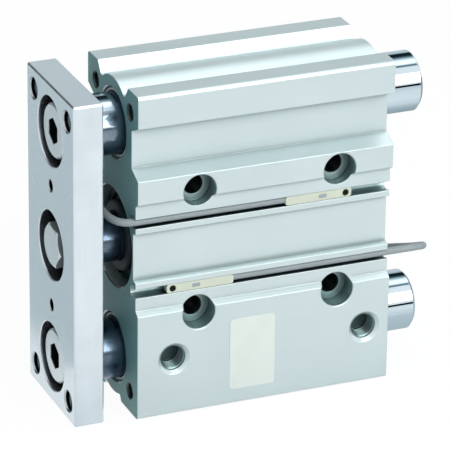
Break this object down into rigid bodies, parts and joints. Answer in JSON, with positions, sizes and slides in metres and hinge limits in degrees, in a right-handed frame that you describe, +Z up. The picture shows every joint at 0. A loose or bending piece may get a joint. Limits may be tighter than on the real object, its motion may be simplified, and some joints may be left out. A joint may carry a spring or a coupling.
{
  "type": "guided pneumatic cylinder",
  "caption": "Compact cylinder with twin guide rods in one extruded body, an end plate carried by the piston rod and guides, side ports and groove-mounted sensors.",
  "frame": {"origin": "under the middle of the retracted cylinder, on the plane of the body's lower end face that it stands on", "axes": "+X along the stroke from the end plate towards the body's rear face, +Y away from the ported side, +Z up along the line from the lower guide rod to the upper one"},
  "size_m": [0.127, 0.0885, 0.1108],
  "materials": {
    "anodised_body": "satin anodised, pale green-grey",
    "cover_aluminium": "machined, clear anodised",
    "nickel_plate": "satin nickel plating",
    "hard_chrome": "ground and hard-chromed",
    "zinc_bolt": "zinc plated",
    "spring_steel": "phosphated spring steel",
    "black_screw": "blackened steel",
    "bearing_bronze": "sintered bearing bronze",
    "seal_rubber": "nitrile rubber",
    "bumper_urethane": "moulded urethane",
    "wiper_ring": "pale acetal",
    "wear_resin": "filled resin",
    "magnet": "sintered magnet",
    "sensor_housing": "ivory moulded resin",
    "lead_jacket": "grey flexible vinyl"
  },
  "bodies": {
    "cylinder": {"cylinder_body": "anodised_body", "head_cover": "cover_aluminium", "head_cover_gasket": "seal_rubber", "head_retaining_ring": "spring_steel", "rod_seal": "seal_rubber", "rod_bushing": "bearing_bronze", "front_bumper": "bumper_urethane", "rear_cover": "cover_aluminium", "rear_cover_gasket": "seal_rubber", "rear_retaining_ring": "spring_steel", "rear_bumper": "bumper_urethane", "lower_sensor": "sensor_housing", "upper_sensor": "sensor_housing", "sensor_screws": "black_screw", "lower_sensor_lead": "lead_jacket", "lower_lead_coil": "lead_jacket", "upper_sensor_lead": "lead_jacket", "upper_lead_coil": "lead_jacket", "bearing_retaining_rings": "spring_steel", "lower_guide_wiper": "wiper_ring", "upper_guide_wiper": "wiper_ring", "lower_front_bearing": "bearing_bronze", "lower_rear_bearing": "bearing_bronze", "upper_front_bearing": "bearing_bronze", "upper_rear_bearing": "bearing_bronze"},
    "slide": {"end_plate": "nickel_plate", "piston_rod": "hard_chrome", "piston": "cover_aluminium", "piston_seal": "seal_rubber", "magnet_ring": "magnet", "wear_ring": "wear_resin", "piston_nut": "zinc_bolt", "guide_rod_bolts": "zinc_bolt", "piston_rod_bolt": "zinc_bolt", "lower_guide_rod": "hard_chrome", "upper_guide_rod": "hard_chrome"}
  },
  "joints": [
    {"name": "stroke", "type": "slide", "parent": "cylinder", "child": "slide", "axis": [-1, 0, 0], "range_m": [0, 0.05]}
  ]
}
